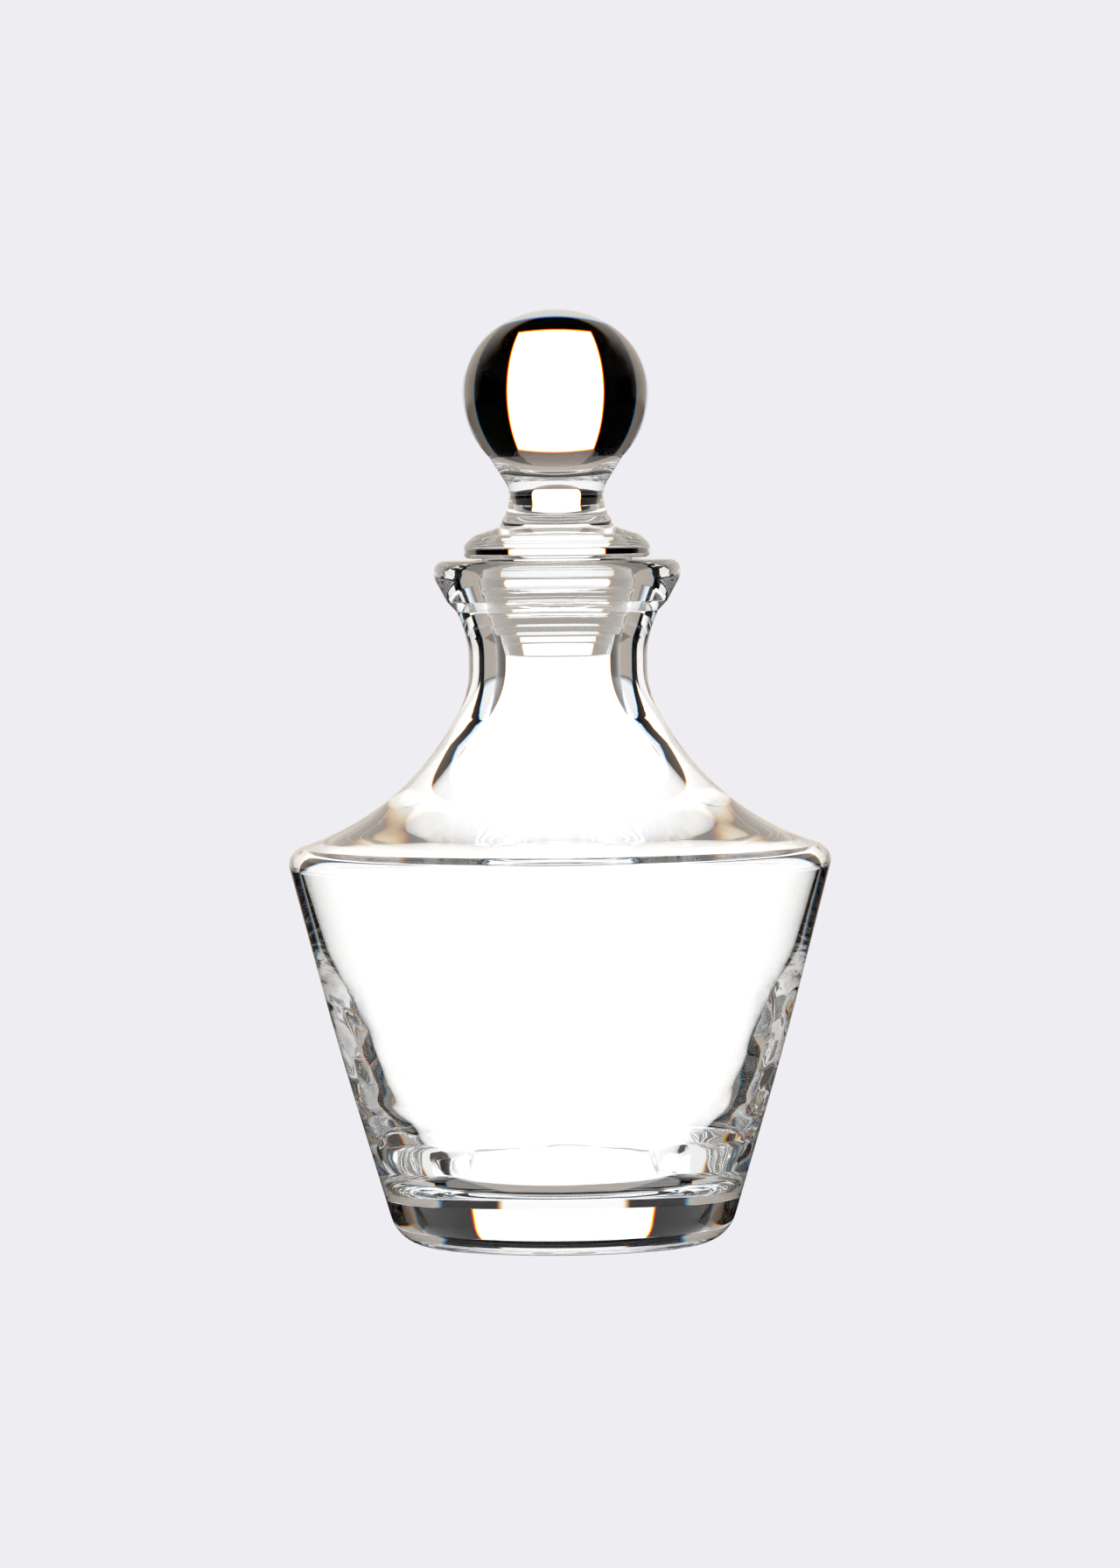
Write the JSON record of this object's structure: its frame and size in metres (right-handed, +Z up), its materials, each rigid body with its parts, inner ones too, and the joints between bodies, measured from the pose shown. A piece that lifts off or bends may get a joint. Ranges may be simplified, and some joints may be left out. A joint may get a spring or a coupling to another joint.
{
  "type": "glass decanter with ball stopper",
  "caption": "Clear glass decanter: sharp-shouldered body tapering to a thick base, waisted neck with flared lip, and a ball stopper with a ribbed plastic seal.",
  "frame": {"origin": "centre of the base, on the surface that the decanter stands on", "axes": "+Z up along the axis of the neck and the stopper; the piece is round, so +X and +Y are any two level directions"},
  "size_m": [0.1364, 0.1364, 0.235],
  "materials": {
    "vessel_glass": "clear, fire-polished",
    "stopper_glass": "clear, polished",
    "seal_plastic": "clear, slightly scuffed"
  },
  "bodies": {
    "decanter": {"decanter_body": "vessel_glass"},
    "seal": {"stopper_seal": "seal_plastic"},
    "stopper": {"stopper": "stopper_glass"}
  },
  "joints": [
    {"name": "stopper_lift", "type": "slide", "parent": "decanter", "child": "seal", "axis": [0, 0, 1], "range_m": [0, 0.06]},
    {"name": "stopper_turn", "type": "hinge", "parent": "seal", "child": "stopper", "pos_m": [0, 0, 0.16], "axis": [0, 0, 1], "continuous": true}
  ]
}
